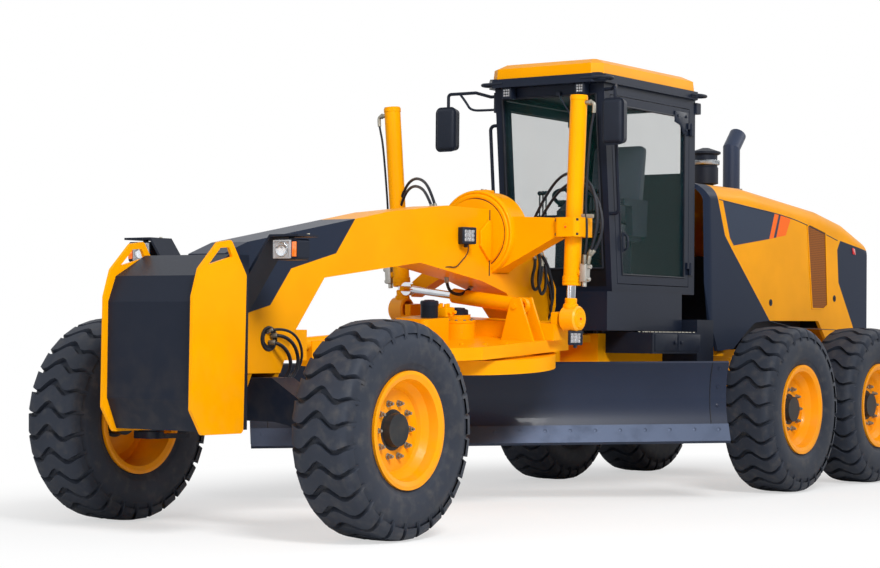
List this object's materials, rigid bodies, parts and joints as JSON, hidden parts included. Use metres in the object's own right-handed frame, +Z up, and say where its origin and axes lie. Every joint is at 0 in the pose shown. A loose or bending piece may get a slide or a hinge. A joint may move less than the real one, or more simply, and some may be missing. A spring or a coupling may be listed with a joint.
{
  "type": "motor grader",
  "caption": "Articulated motor grader with tandem drive, full cab, gooseneck frame, lift cylinders and an angled moldboard on its circle, with moving pieces on joints.",
  "frame": {"origin": "on the ground under the middle of the machine's box", "axes": "+X forward, +Y the machine's left, +Z up"},
  "size_m": [9.3448, 2.6998, 3.3898],
  "materials": {
    "yellow_paint": "gloss",
    "dark_paint": "satin",
    "blade_steel": "satin",
    "edge_steel": "worn",
    "rim_paint": "gloss",
    "tyre_rubber": "matte",
    "chrome_rod": "polished",
    "stack_steel": "satin",
    "black_plastic": "matte",
    "seat_fabric": "woven",
    "cab_glass": "clear"
  },
  "bodies": {
    "rear_frame": {"rear_chassis": "yellow_paint", "rear_axle": "yellow_paint", "tandem_cases": "dark_paint", "engine_block": "dark_paint", "hood": "yellow_paint", "hood_panels": "dark_paint", "exhaust_stack": "stack_steel", "air_precleaner": "black_plastic", "cab_frame": "dark_paint", "cab_roof": "yellow_paint", "cab_glass": "cab_glass", "seat": "seat_fabric", "seat_base": "black_plastic", "steering_console": "black_plastic", "mirrors": "dark_paint", "handrails": "dark_paint", "step_boxes": "dark_paint"},
    "door_left": {"door_left": "dark_paint", "door_glass_left": "cab_glass"},
    "door_right": {"door_right": "dark_paint", "door_glass_right": "cab_glass"},
    "front_frame": {"main_frame": "yellow_paint", "nose_cover": "dark_paint", "nose_plates": "yellow_paint", "headlamps": "dark_paint", "saddle": "yellow_paint", "front_axle": "yellow_paint"},
    "knuckle_left": {"knuckle_left": "dark_paint"},
    "knuckle_right": {"knuckle_right": "dark_paint"},
    "drawbar": {"drawbar": "yellow_paint", "circle_drive": "dark_paint"},
    "circle": {"circle": "yellow_paint"},
    "blade_tilt_frame": {"blade_tilt_frame": "dark_paint"},
    "blade": {"moldboard": "blade_steel", "cutting_edge": "edge_steel"},
    "lift_barrel_left": {"lift_barrel_left": "yellow_paint"},
    "lift_barrel_right": {"lift_barrel_right": "yellow_paint"},
    "lift_rod_left": {"lift_rod_left": "chrome_rod"},
    "lift_rod_right": {"lift_rod_right": "chrome_rod"},
    "shift_rod": {"shift_rod": "chrome_rod"},
    "shift_barrel": {"shift_barrel": "yellow_paint"},
    "wheel_front_left": {"tyre_front_left": "tyre_rubber", "rim_front_left": "rim_paint"},
    "wheel_front_right": {"tyre_front_right": "tyre_rubber", "rim_front_right": "rim_paint"},
    "wheel_tandem_left_front": {"tyre_tandem_left_front": "tyre_rubber", "rim_tandem_left_front": "rim_paint"},
    "wheel_tandem_left_rear": {"tyre_tandem_left_rear": "tyre_rubber", "rim_tandem_left_rear": "rim_paint"},
    "wheel_tandem_right_front": {"tyre_tandem_right_front": "tyre_rubber", "rim_tandem_right_front": "rim_paint"},
    "wheel_tandem_right_rear": {"tyre_tandem_right_rear": "tyre_rubber", "rim_tandem_right_rear": "rim_paint"}
  },
  "joints": [
    {"name": "articulation", "type": "hinge", "parent": "rear_frame", "child": "front_frame", "pos_m": [0.15, 0, 1.06], "axis": [0, 0, 1], "range_deg": [-25, 25]},
    {"name": "steer_left", "type": "hinge", "parent": "front_frame", "child": "knuckle_left", "pos_m": [3.719, 0.8, 0.675], "axis": [0, 0, 1], "range_deg": [-40, 40]},
    {"name": "steer_right", "type": "hinge", "parent": "front_frame", "child": "knuckle_right", "pos_m": [3.719, -0.8, 0.675], "axis": [0, 0, 1], "range_deg": [-40, 40]},
    {"name": "spin_front_left", "type": "hinge", "parent": "knuckle_left", "child": "wheel_front_left", "pos_m": [3.719, 1.1, 0.6745], "axis": [0, 1, 0], "continuous": true},
    {"name": "spin_front_right", "type": "hinge", "parent": "knuckle_right", "child": "wheel_front_right", "pos_m": [3.719, -1.1, 0.6745], "axis": [0, 1, 0], "continuous": true},
    {"name": "spin_tandem_left_front", "type": "hinge", "parent": "rear_frame", "child": "wheel_tandem_left_front", "pos_m": [-1.731, 1.1, 0.6745], "axis": [0, 1, 0], "continuous": true},
    {"name": "spin_tandem_left_rear", "type": "hinge", "parent": "rear_frame", "child": "wheel_tandem_left_rear", "pos_m": [-3.269, 1.1, 0.6745], "axis": [0, 1, 0], "continuous": true},
    {"name": "spin_tandem_right_front", "type": "hinge", "parent": "rear_frame", "child": "wheel_tandem_right_front", "pos_m": [-1.731, -1.1, 0.6745], "axis": [0, 1, 0], "continuous": true},
    {"name": "spin_tandem_right_rear", "type": "hinge", "parent": "rear_frame", "child": "wheel_tandem_right_rear", "pos_m": [-3.269, -1.1, 0.6745], "axis": [0, 1, 0], "continuous": true},
    {"name": "door_left_hinge", "type": "hinge", "parent": "rear_frame", "child": "door_left", "pos_m": [-1.24, 0.516, 2.3], "axis": [0, 0, 1], "range_deg": [0, 85]},
    {"name": "door_right_hinge", "type": "hinge", "parent": "rear_frame", "child": "door_right", "pos_m": [-1.24, -0.516, 2.3], "axis": [0, 0, -1], "range_deg": [0, 85]},
    {"name": "drawbar_lift", "type": "hinge", "parent": "front_frame", "child": "drawbar", "pos_m": [3.23, 0, 1.18], "axis": [0, 1, 0], "range_deg": [-12, 0]},
    {"name": "circle_turn", "type": "hinge", "parent": "drawbar", "child": "circle", "pos_m": [1.35351, 0.00501, 1.29466], "axis": [-0.061, -0.0435, -0.9972], "range_deg": [-8, 98]},
    {"name": "blade_tilt", "type": "hinge", "parent": "circle", "child": "blade_tilt_frame", "pos_m": [0.91004, -0.42394, 0.54831], "axis": [-0.7058, 0.7083, 0.0123], "range_deg": [0, 25]},
    {"name": "blade_shift", "type": "slide", "parent": "blade_tilt_frame", "child": "blade", "axis": [-0.7058, 0.7083, 0.0123], "range_m": [-0.7, 0.3]},
    {"name": "lift_swing_left", "type": "hinge", "parent": "front_frame", "child": "lift_barrel_left", "pos_m": [1.012, 0.785, 2.04], "axis": [1, 0, 0], "range_deg": [0, 1.3]},
    {"name": "lift_swing_right", "type": "hinge", "parent": "front_frame", "child": "lift_barrel_right", "pos_m": [1.012, -0.785, 2.04], "axis": [1, 0, 0], "range_deg": [-2.6, 0]},
    {"name": "lift_stroke_left", "type": "slide", "parent": "lift_barrel_left", "child": "lift_rod_left", "axis": [-0.0029, -0.0387, -0.9992], "range_m": [0, 0.467]},
    {"name": "lift_stroke_right", "type": "slide", "parent": "lift_barrel_right", "child": "lift_rod_right", "axis": [-0.0032, 0.0769, -0.997], "range_m": [0, 0.468]},
    {"name": "shift_swing", "type": "hinge", "parent": "front_frame", "child": "shift_rod", "pos_m": [1.11, -0.62, 1.6], "axis": [1, 0, 0], "range_deg": [-20.7, 0]},
    {"name": "shift_stroke", "type": "slide", "parent": "shift_rod", "child": "shift_barrel", "axis": [0.0833, 0.9895, -0.1183], "range_m": [0, 0.115]}
  ],
  "couplings": [
    {"joint": "steer_right", "follows": "steer_left", "ratio": 1},
    {"joint": "lift_swing_left", "follows": "drawbar_lift", "ratio": -0.095},
    {"joint": "lift_swing_right", "follows": "drawbar_lift", "ratio": 0.2},
    {"joint": "lift_stroke_left", "follows": "drawbar_lift", "m_per_rad": -2.2225},
    {"joint": "lift_stroke_right", "follows": "drawbar_lift", "m_per_rad": -2.2265},
    {"joint": "shift_swing", "follows": "drawbar_lift", "ratio": 1.71},
    {"joint": "shift_stroke", "follows": "drawbar_lift", "m_per_rad": -0.54}
  ]
}
